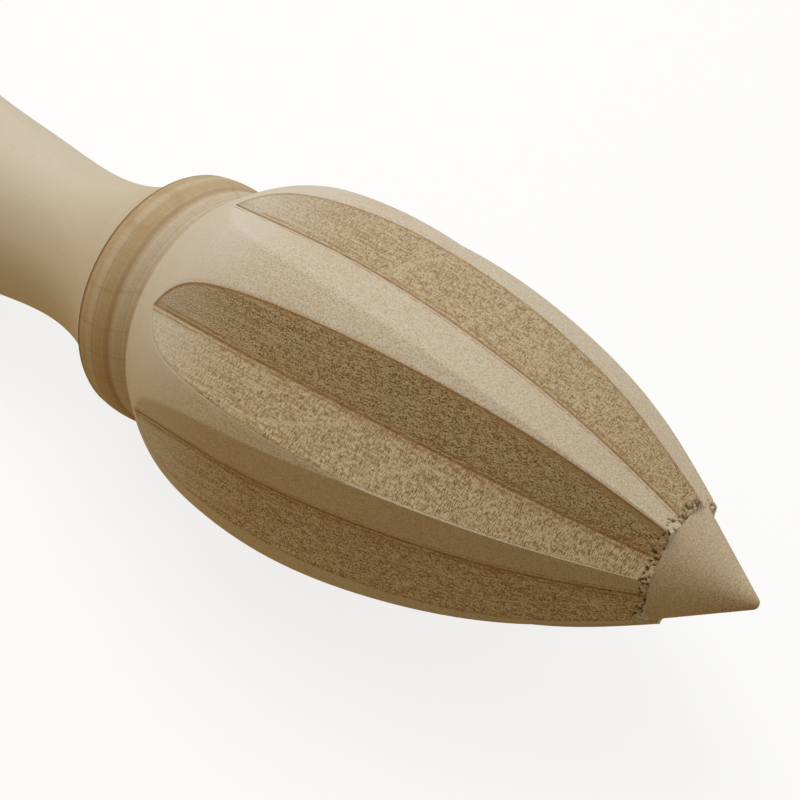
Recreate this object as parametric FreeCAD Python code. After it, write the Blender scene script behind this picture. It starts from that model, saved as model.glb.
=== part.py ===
"""Turned wooden citrus reamer: handle, collar, fluted head and cone, joined by a dowel and a tenon.

The turning axis is +X, from the butt of the handle to the point. +Z is up, with one flute facing it.
The origin is the middle of the flat at the butt. All sizes are in millimetres.
"""
import FreeCAD, Part
import math
import os

from FreeCAD import Vector

# Lengths along the axis
handle_length = 79.8
collar_width = 8.6
head_length = 67.4
cone_length = 9.2

# Handle
butt_flat_radius = 6.0
handle_radius = 16.5
handle_bulge_from_butt = 13.0
neck_radius = 10.75
neck_from_collar = 18.5
flare_radius = 16.6
flare_angle = 42.0
# Direction of the butt's dome where it leaves the flat: how far forward for each unit outwards
dome_lean = 0.25
# Outline of the grip from the bulge to the neck: share of the run, share of the drop that is left
grip_outline = [(0.35, 0.6), (0.71, 0.22)]
# Middle of the flare: share of its run, share of its rise
flare_middle = (0.5, 0.2)

# Collar: a shallow bead that narrows towards the head, between two small edge chamfers
collar_back_radius = 16.7
collar_front_radius = 15.6
collar_crown = 0.65
collar_chamfer = 0.3

# Head
head_radius = 22.25
head_back_radius = 16.9
head_back_chamfer = 0.5
ring_radius = 7.55
# Outline between the back and the ring: share of the length, share of the radius
head_outline = [(0.10, 0.919), (0.205, 0.989), (0.39, 1.0), (0.61, 0.889), (0.83, 0.649)]

# Flutes: straight V cuts, measured down from the land
flute_count = 8
# How far each flute is from its even place, in degrees: hand-set, counted down the -Y side from the top
flute_drift = [0.0, 0.9, -4.5, 0.0, 0.0, 0.0, 0.0, 0.0]
flute_angle = 150.0
flute_depth = 3.0
flute_end_depth = 1.38
flute_runout_rise = 3.0
# Share of flute_depth at each station of head_outline
flute_depth_shares = [0.24, 0.71, 0.94, 1.0, 0.835]

# Cone
cone_base_radius = 6.5
cone_half_angle = 33.5

# Joints
dowel_diameter = 10.0
dowel_engagement = 17.0
tenon_diameter = 6.0
tenon_length = 12.0
glue_clearance = 0.05
bore_end_gap = 1.0
dowel_chamfer = 0.8

# Places along the axis
collar_x = handle_length
head_x = collar_x + collar_width
ring_x = head_x + head_length
point_x = ring_x + cone_length

AXIS_POINT = Vector(0, 0, 0)
AXIS = Vector(1, 0, 0)
bore_radius = dowel_diameter / 2 + glue_clearance
socket_radius = tenon_diameter / 2 + glue_clearance


def at(x, z):
    """A point of a half outline in the XZ plane."""
    return Vector(x, 0, z)


def line(start, end):
    return Part.LineSegment(start, end).toShape()


def curve(points, start_tangent, end_tangent):
    """A smooth edge through the points, leaving and arriving along the given directions."""
    spline = Part.BSplineCurve()
    spline.interpolate(points, InitialTangent=start_tangent, FinalTangent=end_tangent)
    return spline.toShape()


def turn(edges):
    """The solid swept by a closed half outline turned about the axis."""
    face = Part.Face(Part.Wire(edges))
    return face.revolve(AXIS_POINT, AXIS, 360)


def rod(start_x, end_x, radius):
    """A plain cylinder along the axis."""
    return Part.makeCylinder(radius, end_x - start_x, Vector(start_x, 0, 0), AXIS)


def handle():
    """Bulged grip and waisted neck, flaring out to the collar, with a blind bore for the dowel."""
    neck_x = handle_length - neck_from_collar
    grip_run = neck_x - handle_bulge_from_butt
    grip_drop = handle_radius - neck_radius
    bulge = at(handle_bulge_from_butt, handle_radius)
    neck = at(neck_x, neck_radius)
    dome = curve([at(0, butt_flat_radius), bulge], Vector(dome_lean, 0, 1), AXIS)
    grip_points = [bulge]
    for run, drop in grip_outline:
        grip_points.append(at(handle_bulge_from_butt + run * grip_run, neck_radius + drop * grip_drop))
    grip_points.append(neck)
    grip = curve(grip_points, AXIS, AXIS)
    flare_end = at(handle_length, flare_radius)
    flare_rise = flare_radius - neck_radius
    halfway = at(neck_x + flare_middle[0] * neck_from_collar, neck_radius + flare_middle[1] * flare_rise)
    flare = curve(
        [neck, halfway, flare_end],
        AXIS,
        Vector(math.cos(math.radians(flare_angle)), 0, math.sin(math.radians(flare_angle))),
    )
    shape = turn(
        [
            line(at(0, 0), at(0, butt_flat_radius)),
            dome,
            grip,
            flare,
            line(flare_end, at(handle_length, 0)),
            line(at(handle_length, 0), at(0, 0)),
        ]
    )
    bore_start = handle_length - dowel_engagement - bore_end_gap
    return shape.cut(rod(bore_start, handle_length, bore_radius))


def collar():
    """A beaded ring, bored through for the dowel."""
    back = collar_x + collar_chamfer
    front = head_x - collar_chamfer
    inner_back = collar_back_radius - collar_chamfer
    inner_front = collar_front_radius - collar_chamfer
    crest = at(collar_x + collar_width / 2, (collar_back_radius + collar_front_radius) / 2 + collar_crown)
    bead = Part.Arc(at(back, collar_back_radius), crest, at(front, collar_front_radius)).toShape()
    return turn(
        [
            line(at(collar_x, bore_radius), at(collar_x, inner_back)),
            line(at(collar_x, inner_back), at(back, collar_back_radius)),
            bead,
            line(at(front, collar_front_radius), at(head_x, inner_front)),
            line(at(head_x, inner_front), at(head_x, bore_radius)),
            line(at(head_x, bore_radius), at(collar_x, bore_radius)),
        ]
    )


def head_land_points():
    """The outline of the lands, from the back chamfer to the ring."""
    points = [at(head_x + head_back_chamfer, head_back_radius)]
    points += [at(head_x + share * head_length, scale * head_radius) for share, scale in head_outline]
    points.append(at(ring_x, ring_radius))
    return points


def flute_valley_points():
    """The line at the bottom of a flute, rising out of the head before the back chamfer."""
    lands = head_land_points()
    depths = [-flute_runout_rise]
    depths += [share * flute_depth for share in flute_depth_shares]
    depths.append(flute_end_depth)
    return [at(land.x, land.z - depth) for land, depth in zip(lands, depths)]


def flute_cutter():
    """A V-shaped cutter over one flute, made of one swept flank on each side of the valley line."""
    valley_points = flute_valley_points()
    valley = Part.BSplineCurve()
    valley.interpolate(valley_points)
    first, last = valley_points[0], valley_points[-1]
    overrun = 1.0
    top = head_radius + flute_runout_rise
    before = at(first.x - overrun, first.z + overrun)
    beyond = at(last.x + overrun, last.z - overrun)
    face = Part.Face(
        Part.Wire(
            [
                line(before, first),
                valley.toShape(),
                line(last, beyond),
                line(beyond, at(beyond.x, top)),
                line(at(beyond.x, top), at(before.x, top)),
                line(at(before.x, top), before),
            ]
        )
    )
    rise = math.tan(math.radians(90 - flute_angle / 2))
    width = head_radius
    left = face.extrude(Vector(0, width, width * rise))
    right = face.extrude(Vector(0, -width, width * rise))
    return left.fuse(right)


def head():
    """Egg-shaped head with V flutes, a blind bore at the back and a blind socket at the ring."""
    lands = head_land_points()
    inner = head_back_radius - head_back_chamfer
    outline = Part.BSplineCurve()
    outline.interpolate(lands)
    shape = turn(
        [
            line(at(head_x, 0), at(head_x, inner)),
            line(at(head_x, inner), lands[0]),
            outline.toShape(),
            line(lands[-1], at(ring_x, 0)),
            line(at(ring_x, 0), at(head_x, 0)),
        ]
    )
    cutter = flute_cutter()
    for index in range(flute_count):
        turned = cutter.copy()
        drift = flute_drift[index % len(flute_drift)]
        turned.rotate(AXIS_POINT, AXIS, index * 360 / flute_count + drift)
        shape = shape.cut(turned)
    shape = shape.cut(rod(head_x, head_x + dowel_engagement + bore_end_gap, bore_radius))
    return shape.cut(rod(ring_x - tenon_length - bore_end_gap, ring_x, socket_radius))


def cone():
    """Blunt cone with a tenon that fits the socket in the head."""
    slope = math.radians(cone_half_angle)
    apex_x = ring_x + cone_base_radius / math.tan(slope)
    nose_radius = (apex_x - point_x) / (1 / math.sin(slope) - 1)
    centre_x = point_x - nose_radius
    touch = at(centre_x + nose_radius * math.sin(slope), nose_radius * math.cos(slope))
    middle = (90 - cone_half_angle) / 2
    halfway = at(
        centre_x + nose_radius * math.cos(math.radians(middle)),
        nose_radius * math.sin(math.radians(middle)),
    )
    body = turn(
        [
            line(at(ring_x, 0), at(ring_x, cone_base_radius)),
            line(at(ring_x, cone_base_radius), touch),
            Part.Arc(touch, halfway, at(point_x, 0)).toShape(),
            line(at(point_x, 0), at(ring_x, 0)),
        ]
    )
    return body.fuse(rod(ring_x - tenon_length, ring_x, tenon_diameter / 2)).removeSplitter()


def joining_dowel():
    """Chamfered dowel through the collar into the handle and the head."""
    start = collar_x - dowel_engagement
    end = head_x + dowel_engagement
    radius = dowel_diameter / 2
    small = radius - dowel_chamfer
    return turn(
        [
            line(at(start, 0), at(start, small)),
            line(at(start, small), at(start + dowel_chamfer, radius)),
            line(at(start + dowel_chamfer, radius), at(end - dowel_chamfer, radius)),
            line(at(end - dowel_chamfer, radius), at(end, small)),
            line(at(end, small), at(end, 0)),
            line(at(end, 0), at(start, 0)),
        ]
    )


NODES = {
    "handle": handle,
    "collar": collar,
    "head": head,
    "cone": cone,
    "joining_dowel": joining_dowel,
}

os.makedirs("parts", exist_ok=True)
for name, make in NODES.items():
    shape = make()
    shape.exportStep("parts/" + name + ".step")
    print(name, "valid", shape.isValid(), "solids", len(shape.Solids), "volume", round(shape.Volume, 1))
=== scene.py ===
"""Turned wooden citrus reamer: the visible pieces, their wood finishes and a plain studio stage.

Everything is in metres, in the part's own frame: +X runs from the butt of the handle to the point,
+Z is up, and the turning axis is the X axis.
"""
import math

import bmesh
import bpy
import numpy as np
from mathutils import Matrix, Vector


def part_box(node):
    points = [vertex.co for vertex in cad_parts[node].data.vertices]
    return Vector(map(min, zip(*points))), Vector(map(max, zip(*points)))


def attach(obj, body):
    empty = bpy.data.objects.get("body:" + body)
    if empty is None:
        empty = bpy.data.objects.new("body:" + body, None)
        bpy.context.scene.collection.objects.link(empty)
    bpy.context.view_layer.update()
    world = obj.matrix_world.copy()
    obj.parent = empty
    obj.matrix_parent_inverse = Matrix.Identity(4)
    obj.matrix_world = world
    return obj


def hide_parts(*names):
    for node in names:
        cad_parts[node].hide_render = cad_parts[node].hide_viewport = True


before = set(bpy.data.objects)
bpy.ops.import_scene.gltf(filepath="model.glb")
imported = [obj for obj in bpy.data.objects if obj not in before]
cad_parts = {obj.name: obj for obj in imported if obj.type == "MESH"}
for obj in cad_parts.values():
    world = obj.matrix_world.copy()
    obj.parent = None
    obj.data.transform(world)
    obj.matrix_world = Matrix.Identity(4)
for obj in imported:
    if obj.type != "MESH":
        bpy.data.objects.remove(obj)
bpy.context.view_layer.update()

bl_info = {
    "name": "Turned Citrus Reamer",
    "version": (1, 0, 0),
    "blender": (4, 5, 0),
    "location": "3D View > Sidebar > Reamer",
    "description": "Builds a turned and fluted wooden citrus reamer around its solid model",
    "category": "Add Mesh",
}

BODY = "root"
MM = 0.001
HANDLE_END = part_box("handle")[1].x
HEAD_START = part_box("head")[0].x
RING_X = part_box("head")[1].x
POINT_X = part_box("cone")[1].x
DOWEL_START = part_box("joining_dowel")[0].x
DOWEL_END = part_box("joining_dowel")[1].x
DOWEL_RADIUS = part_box("joining_dowel")[1].y
TENON_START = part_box("cone")[0].x
HEAD_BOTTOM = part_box("head")[0].z
# Room for glue round the dowel and the tenon, and the free space at the end of their bores
GLUE_CLEARANCE = 0.05 * MM
BORE_END_GAP = 1.0 * MM
BORE_RADIUS = DOWEL_RADIUS + GLUE_CLEARANCE

# Direction in which the butt's dome leaves the flat
DOME_DIRECTION = (0.25, 1)
# Outline of the grip from the bulge to the neck: share of the run, share of the drop that is left
GRIP_OUTLINE = [(0.35, 0.6), (0.71, 0.22)]
# Middle of the flare: share of its run, share of its rise
FLARE_MIDDLE = (0.5, 0.2)
# Turned lines on the collar: share of its width, share of the groove depth, half width
COLLAR_GROOVES = [(0.07, 0.5, 0.25 * MM), (0.35, 0.5, 0.16 * MM), (0.61, 1.0, 0.34 * MM)]
# Share of the head's length from its back, share of its radius, share of the flute depth
HEAD_STATIONS = [
    (0.10, 0.919, 0.24),
    (0.205, 0.989, 0.71),
    (0.39, 1.0, 0.94),
    (0.61, 0.889, 1.0),
    (0.83, 0.649, 0.835),
]
# How far each flute is from its even place, in degrees, counted from the top one down the -Y side
FLUTE_DRIFT = [0.0, 0.9, -4.5, 0.0, 0.0, 0.0, 0.0, 0.0]
# In the same order, each flute's upper and lower flank: how torn, how rippled and how brown at the outer edge
FLANK_FINISH = [
    {"tear": (0.6, 0.05), "ripple": (0.6, 0.0), "burn": (0.6, 0.0)},
    {"tear": (1.0, 0.7), "ripple": (0.0, 0.9), "burn": (1.0, 0.1)},
    {"tear": (0.1, 0.9), "ripple": (0.0, 0.2), "burn": (0.0, 0.2)},
    {"tear": (0.9, 0.3), "ripple": (0.4, 0.6), "burn": (0.7, 0.2)},
    {"tear": (0.2, 1.0), "ripple": (0.2, 0.4), "burn": (0.2, 0.8)},
    {"tear": (0.8, 0.5), "ripple": (0.7, 0.3), "burn": (0.9, 0.1)},
    {"tear": (0.1, 0.9), "ripple": (0.1, 0.5), "burn": (0.1, 0.7)},
    {"tear": (0.05, 0.9), "ripple": (0.0, 0.4), "burn": (0.0, 0.4)},
]
# Centre of the growth rings, far below the reamer, so that they cross it as nearly flat layers
PITH = (0.0, 0.03, -0.15)
# Where the camera stands, from the point of the cone
CAMERA_FROM_POINT = (34.8 * MM, -91.64 * MM, 109.48 * MM)
BACKLIGHT_FROM = (0.42, 0.69, 0.59)
# Where the head is widest, as a share of its length
WIDEST_SHARE = 0.32
# How much light the floor throws back, and how much it gives off
FLOOR_BASE = 0.18
FLOOR_GLOW = 0.82


# ---------------------------------------------------------------- settings


def length_setting(name, description, default):
    return bpy.props.FloatProperty(
        name=name, description=description, default=default, unit="LENGTH", precision=5
    )


def angle_setting(name, description, degrees):
    return bpy.props.FloatProperty(
        name=name, description=description, default=math.radians(degrees), subtype="ANGLE"
    )


def power_setting(name, description, default):
    return bpy.props.FloatProperty(name=name, description=description, default=default, unit="POWER")


def colour_setting(name, description, default):
    return bpy.props.FloatVectorProperty(
        name=name, description=description, default=default, subtype="COLOR", min=0.0, max=1.0
    )


class ReamerHandleSettings(bpy.types.PropertyGroup):
    butt_flat: length_setting("Butt flat", "Radius of the flat at the butt", 6.0 * MM)
    bulge_place: length_setting("Bulge place", "Distance of the widest place from the butt", 13.0 * MM)
    bulge_radius: length_setting("Bulge", "Radius of the widest place of the grip", 16.5 * MM)
    neck_radius: length_setting("Neck", "Radius of the waist", 10.75 * MM)
    neck_place: length_setting("Neck place", "Distance of the waist from the collar", 18.5 * MM)
    flare_radius: length_setting("Flare", "Radius where the handle meets the collar", 16.6 * MM)
    flare_angle: angle_setting("Flare angle", "Slope of the flare at the collar", 42)


class ReamerCollarSettings(bpy.types.PropertyGroup):
    back_radius: length_setting("Back", "Radius at the handle", 16.7 * MM)
    front_radius: length_setting("Front", "Radius at the head", 15.6 * MM)
    crown: length_setting("Crown", "How far the bead stands above its edges", 0.65 * MM)
    chamfer: length_setting("Chamfer", "Size of the edge chamfers", 0.3 * MM)
    groove_depth: length_setting("Grooves", "Depth of the fine turned lines", 0.14 * MM)


class ReamerHeadSettings(bpy.types.PropertyGroup):
    radius: length_setting("Radius", "Largest radius of the lands", 22.25 * MM)
    back_radius: length_setting("Back", "Radius at the collar", 16.9 * MM)
    back_chamfer: length_setting("Back chamfer", "Chamfer beside the collar", 0.5 * MM)
    ring_radius: length_setting("Ring", "Radius of the ridges at the cone", 7.55 * MM)
    flute_count: bpy.props.IntProperty(name="Flutes", description="Number of flutes", default=8, min=3)
    flute_angle: angle_setting("Flute angle", "Angle inside the V of a flute", 150)
    flute_depth: length_setting("Flute depth", "Depth of the flutes below the lands", 3.0 * MM)
    flute_end_depth: length_setting("End depth", "Depth of the flutes at the cone", 1.38 * MM)
    flute_rise: length_setting("Run-out", "How far the cutter has risen at the back", 3.0 * MM)
    edge_rounding: length_setting("Edge rounding", "Softness of the flutes' edges", 0.10 * MM)
    ripple_pitch: length_setting("Ripple pitch", "Distance between the cutter's ripples", 1.3 * MM)
    ripple_depth: length_setting("Ripple depth", "Height of the cutter's ripples", 0.015 * MM)
    torn_reach: length_setting("Torn reach", "Width of the torn band beside the cone", 0.9 * MM)
    torn_depth: length_setting("Torn depth", "Depth of the holes in the torn band", 0.24 * MM)


class ReamerConeSettings(bpy.types.PropertyGroup):
    base_radius: length_setting("Base", "Radius beside the flutes", 6.5 * MM)
    half_angle: angle_setting("Half angle", "Slope of the cone", 33.5)
    line_pitch: length_setting("Tool lines", "Distance between the turned lines", 0.42 * MM)
    line_depth: length_setting("Line depth", "Depth of the turned lines", 0.006 * MM)
    tenon_radius: length_setting("Tenon", "Radius of the tenon in the head", 3.0 * MM)
    fibre_count: bpy.props.IntProperty(
        name="Fibres", description="Torn fibres round the ring", default=360, min=0
    )
    fibre_length: length_setting("Fibre length", "Length of a torn fibre", 0.55 * MM)
    fibre_width: length_setting("Fibre width", "Width of a torn fibre", 0.12 * MM)


class ReamerWoodSettings(bpy.types.PropertyGroup):
    sanded: colour_setting("Sanded", "Pale sanded wood", (0.710, 0.660, 0.580))
    sanded_deep: colour_setting("Sanded, late growth", "Darker bands in sanded wood", (0.600, 0.500, 0.340))
    raw: colour_setting("Raw cut", "Wood left as the cutter leaves it", (0.480, 0.350, 0.180))
    raw_dark: colour_setting("Raw pits", "Pits between torn fibres", (0.165, 0.090, 0.030))
    raw_light: colour_setting("Raw fuzz", "Raised pale fibres", (0.700, 0.585, 0.365))
    forward_tint: colour_setting("Forward tint", "Tone of the wood towards the cone", (0.86, 0.79, 0.66))
    scorch: colour_setting("Edge line", "Brown line along a cut edge", (0.370, 0.195, 0.060))


class ReamerStageSettings(bpy.types.PropertyGroup):
    floor: colour_setting("Floor", "Colour of the floor", (1.0, 1.0, 1.0))
    key_power: power_setting("Key", "Power of the overhead light", 2.15)
    fill_power: power_setting("Fill", "Power of the light beside the handle", 0.022)
    ambient: colour_setting("Ambient", "Warm light from the front and below", (0.38, 0.265, 0.115))
    shade: colour_setting("Shade", "Dim light from beyond the point", (0.17, 0.11, 0.040))
    backlight: colour_setting("Backlight", "Cool light from behind and above", (0.72, 0.73, 0.74))
    azimuth: angle_setting("Azimuth", "Camera direction round the part", 41.785)
    elevation: angle_setting("Elevation", "Camera height angle", 41.077)
    roll: angle_setting("Roll", "Camera turned about its own line of sight", -2.676)
    lens: bpy.props.FloatProperty(name="Lens", description="Focal length in mm", default=63.0)


SETTINGS = {
    "reamer_handle": ReamerHandleSettings,
    "reamer_collar": ReamerCollarSettings,
    "reamer_head": ReamerHeadSettings,
    "reamer_cone": ReamerConeSettings,
    "reamer_wood": ReamerWoodSettings,
    "reamer_stage": ReamerStageSettings,
}


# ---------------------------------------------------------------- node helpers


class Nodes:
    """Adds nodes to one tree. An input takes a plain value or another node's output."""

    def __init__(self, tree):
        self.tree = tree

    def plug(self, socket, value):
        if isinstance(value, bpy.types.NodeSocket):
            self.tree.links.new(value, socket)
        else:
            socket.default_value = value

    def add(self, kind, inputs=None, **settings):
        made = self.tree.nodes.new(kind)
        for key, value in settings.items():
            setattr(made, key, value)
        for key, value in (inputs or {}).items():
            self.plug(made.inputs[key], value)
        return made

    def math(self, operation, *values):
        made = self.tree.nodes.new("ShaderNodeMath")
        made.operation = operation
        for socket, value in zip(made.inputs, values):
            self.plug(socket, value)
        return made.outputs[0]

    def times(self, first, second):
        return self.math("MULTIPLY", first, second)

    def plus(self, first, second):
        return self.math("ADD", first, second)

    def minus(self, first, second):
        return self.math("SUBTRACT", first, second)

    def over(self, first, second):
        return self.math("DIVIDE", first, second)

    def split(self, vector):
        return self.add("ShaderNodeSeparateXYZ", {"Vector": vector}).outputs

    def join(self, x=0.0, y=0.0, z=0.0):
        return self.add("ShaderNodeCombineXYZ", {"X": x, "Y": y, "Z": z}).outputs[0]

    def end_shape(self, shape, material, socket):
        """Makes the shape real, gives it its material and hands it over."""
        whole = self.add("GeometryNodeRealizeInstances", {"Geometry": shape}).outputs[0]
        coloured = self.add("GeometryNodeSetMaterial", {"Geometry": whole, "Material": material})
        self.plug(socket, coloured.outputs[0])

    def vector(self, operation, *values):
        made = self.tree.nodes.new("ShaderNodeVectorMath")
        made.operation = operation
        for socket, value in zip(made.inputs, values):
            self.plug(socket, value)
        return made.outputs[0]

    def ramp(self, value, low, high, to_low=0.0, to_high=1.0):
        """A smooth step from to_low at low to to_high at high."""
        made = self.add(
            "ShaderNodeMapRange",
            {"Value": value, "From Min": low, "From Max": high, "To Min": to_low, "To Max": to_high},
            interpolation_type="SMOOTHSTEP",
        )
        return made.outputs["Result"]

    def mix(self, share, first, second, blend="MIX"):
        made = self.tree.nodes.new("ShaderNodeMix")
        made.data_type = "RGBA"
        made.blend_type = blend
        self.plug(made.inputs["Factor"], share)
        self.plug(made.inputs["A"], first)
        self.plug(made.inputs["B"], second)
        return made.outputs["Result"]

    def noise(self, vector, scale=1.0, detail=2.0, roughness=0.5, dimensions="3D"):
        key = "W" if dimensions == "1D" else "Vector"
        made = self.add("ShaderNodeTexNoise", noise_dimensions=dimensions)
        self.plug(made.inputs[key], vector)
        made.inputs["Scale"].default_value = scale
        made.inputs["Detail"].default_value = detail
        made.inputs["Roughness"].default_value = roughness
        return made.outputs["Fac"]


SOCKET_KINDS = {float: "Float", int: "Int", tuple: "Vector"}


def new_group(name, kind, inputs, outputs):
    """A node group. Each socket is given by its default value, or by its kind where it has none."""
    tree = bpy.data.node_groups.new(name, kind)
    for side, sockets in (("INPUT", inputs), ("OUTPUT", outputs)):
        for label, given in sockets.items():
            kind_name = SOCKET_KINDS.get(type(given), given)
            socket = tree.interface.new_socket(name=label, in_out=side, socket_type="NodeSocket" + kind_name)
            if kind_name is not given:
                socket.default_value = given
    nodes = Nodes(tree)
    return nodes, nodes.add("NodeGroupInput").outputs, nodes.add("NodeGroupOutput").inputs


def rgba(colour):
    return (*colour, 1.0)


# ---------------------------------------------------------------- outlines


def smooth_points(points, steps, start=None, end=None):
    """Points along a smooth curve through the given ones, with given end directions or natural ones."""
    p = np.array(points, float)
    t = np.concatenate([[0.0], np.cumsum(np.linalg.norm(np.diff(p, axis=0), axis=1))])
    h = np.diff(t)
    n = len(p)
    matrix = np.zeros((n, n))
    right = np.zeros((n, 2))
    for i in range(1, n - 1):
        matrix[i, i - 1 : i + 2] = h[i], 2 * (h[i - 1] + h[i]), h[i - 1]
        right[i] = 3 * (h[i] * (p[i] - p[i - 1]) / h[i - 1] + h[i - 1] * (p[i + 1] - p[i]) / h[i])
    for row, near, direction in ((0, (0, 1), start), (n - 1, (n - 1, n - 2), end)):
        matrix[row, near[0]] = 1.0
        if direction is None:
            matrix[row, near[1]] = 0.5
            right[row] = 1.5 * (p[near[1]] - p[near[0]]) / (t[near[1]] - t[near[0]])
        else:
            right[row] = np.array(direction) / np.linalg.norm(direction)
    slopes = np.linalg.solve(matrix, right)
    out = []
    for i in range(n - 1):
        for s in np.linspace(0, 1, steps, endpoint=False):
            a, b = 2 * s**3 - 3 * s**2 + 1, s**3 - 2 * s**2 + s
            c, d = 3 * s**2 - 2 * s**3, s**3 - s**2
            out.append(a * p[i] + b * h[i] * slopes[i] + c * p[i + 1] + d * h[i] * slopes[i + 1])
    out.append(p[-1])
    return np.array(out)


def handle_outline(s):
    neck_x = HANDLE_END - s.neck_place
    run = neck_x - s.bulge_place
    drop = s.bulge_radius - s.neck_radius
    bulge = (s.bulge_place, s.bulge_radius)
    neck = (neck_x, s.neck_radius)
    flare = (HANDLE_END, s.flare_radius)
    grip = [bulge]
    grip += [(s.bulge_place + share * run, s.neck_radius + left * drop) for share, left in GRIP_OUTLINE]
    grip.append(neck)
    middle_x = neck_x + FLARE_MIDDLE[0] * s.neck_place
    middle_radius = s.neck_radius + FLARE_MIDDLE[1] * (s.flare_radius - s.neck_radius)
    cove = [neck, (middle_x, middle_radius), flare]
    slope = (math.cos(s.flare_angle), math.sin(s.flare_angle))
    bore_end = DOWEL_START - BORE_END_GAP
    parts = [
        [(0, 0)],
        smooth_points([(0, s.butt_flat), bulge], 24, DOME_DIRECTION, (1, 0)),
        smooth_points(grip, 18, (1, 0), (1, 0))[1:],
        smooth_points(cove, 18, (1, 0), slope)[1:],
        [(HANDLE_END, BORE_RADIUS), (bore_end, BORE_RADIUS), (bore_end, 0)],
    ]
    return np.concatenate([np.array(part, float).reshape(-1, 2) for part in parts])


def collar_outline(s):
    """A shallow bead with turned grooves, and a front band that stands slightly lower."""
    width = HEAD_START - HANDLE_END
    xs = np.linspace(s.chamfer, width - s.chamfer, 110)
    across = 2 * xs / width - 1
    radius = s.back_radius + (s.front_radius - s.back_radius) * xs / width + s.crown * (1 - across**2)
    for place, size, half_width in COLLAR_GROOVES:
        radius -= s.groove_depth * size * np.exp(-(((xs - place * width) / half_width) ** 2))
    radius -= s.groove_depth * 1.2 / (1 + np.exp(-(xs - 0.61 * width) / (0.15 * MM)))
    bead = np.stack([HANDLE_END + xs, radius], axis=1)
    back = [(HANDLE_END, BORE_RADIUS), (HANDLE_END, s.back_radius - s.chamfer)]
    front = [(HEAD_START, s.front_radius - s.chamfer), (HEAD_START, BORE_RADIUS), (HANDLE_END, BORE_RADIUS)]
    return np.concatenate([np.array(back), bead, np.array(front)])


def cone_outline(s):
    """Cone with fine turned lines and a rounded nose, and its tenon."""
    apex = RING_X + s.base_radius / math.tan(s.half_angle)
    nose = (apex - POINT_X) / (1 / math.sin(s.half_angle) - 1)
    centre = POINT_X - nose
    touch = centre + nose * math.sin(s.half_angle)
    xs = np.linspace(RING_X, touch, 110)
    radius = (apex - xs) * math.tan(s.half_angle)
    wander = 1.3 * np.sin(xs / (1.9 * MM)) + 0.7 * np.sin(xs / (0.83 * MM) + 1.0)
    fade = np.clip((xs - RING_X) / (0.6 * MM), 0, 1) * np.clip((touch - xs) / (1.0 * MM), 0, 1)
    radius += s.line_depth * fade * np.sin(2 * math.pi * xs / s.line_pitch + wander)
    angles = np.linspace(math.pi / 2 - s.half_angle, 0, 14)[1:]
    round_end = np.stack([centre + nose * np.cos(angles), nose * np.sin(angles)], axis=1)
    tenon = [(TENON_START, 0), (TENON_START, s.tenon_radius), (RING_X, s.tenon_radius)]
    round_end[-1] = POINT_X, 0
    return np.concatenate([np.array(tenon), np.stack([xs, radius], axis=1), round_end])


def head_lines(s, xs):
    """Radius of the lands and of the flutes' valley line at each place along the head."""
    length = RING_X - HEAD_START
    start = HEAD_START + s.back_chamfer
    lands = [(start, s.back_radius)]
    lands += [(HEAD_START + place * length, scale * s.radius) for place, scale, _ in HEAD_STATIONS]
    lands.append((RING_X, s.ring_radius))
    depths = [-s.flute_rise] + [depth * s.flute_depth for _, _, depth in HEAD_STATIONS] + [s.flute_end_depth]
    valleys = [(x, radius - depth) for (x, radius), depth in zip(lands, depths)]
    land, valley = smooth_points(lands, 60), smooth_points(valleys, 60)
    return np.interp(xs, land[:, 0], land[:, 1]), np.interp(xs, valley[:, 0], valley[:, 1])


# ---------------------------------------------------------------- geometry node trees


def turned_tree():
    """Turns an outline, given as a row of points in the XZ plane, about the X axis."""
    nodes, group, out = new_group(
        "Turned Piece",
        "GeometryNodeTree",
        {"Outline": "Geometry", "Segments": 192, "Material": "Material"},
        {"Piece": "Geometry"},
    )
    outline = group["Outline"]
    count = nodes.add("GeometryNodeAttributeDomainSize", {"Geometry": outline}).outputs["Point Count"]
    columns = nodes.plus(group["Segments"], 1)
    grid = nodes.add("GeometryNodeMeshGrid", {"Vertices X": count, "Vertices Y": columns}).outputs["Mesh"]
    index = nodes.add("GeometryNodeInputIndex").outputs[0]
    row = nodes.math("FLOOR", nodes.over(nodes.plus(index, 0.5), columns))
    column = nodes.minus(index, nodes.times(row, columns))
    place = nodes.add("GeometryNodeInputPosition").outputs[0]
    inputs = {"Geometry": outline, "Index": row}
    sampled = nodes.add("GeometryNodeSampleIndex", inputs, data_type="FLOAT_VECTOR")
    nodes.plug(sampled.inputs["Value"], place)
    flat = nodes.split(sampled.outputs["Value"])
    angle = nodes.times(nodes.over(column, group["Segments"]), 2 * math.pi)
    turned = nodes.join(
        flat["X"],
        nodes.times(flat["Z"], nodes.math("SINE", angle)),
        nodes.times(flat["Z"], nodes.math("COSINE", angle)),
    )
    shaped = nodes.add("GeometryNodeSetPosition", {"Geometry": grid, "Position": turned}).outputs[0]
    merged = nodes.add("GeometryNodeMergeByDistance", {"Geometry": shaped, "Distance": 0.002 * MM}).outputs[0]
    nodes.end_shape(merged, group["Material"], out["Piece"])
    return nodes.tree


def flute_section_tree():
    """Radius of one V flank at an angle, called the turn, away from the flute's valley."""
    nodes, group, out = new_group(
        "Flute Section",
        "GeometryNodeTree",
        {"Turn": 0.0, "Valley Radius": 0.02, "Flute Angle": 2.6},
        {"Flank Radius": "Float"},
    )
    slope = nodes.math("TANGENT", nodes.minus(math.pi / 2, nodes.times(group["Flute Angle"], 0.5)))
    across = nodes.times(slope, nodes.math("SINE", group["Turn"]))
    reach = nodes.minus(nodes.math("COSINE", group["Turn"]), across)
    nodes.plug(out["Flank Radius"], nodes.over(group["Valley Radius"], reach))
    return nodes.tree


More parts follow.
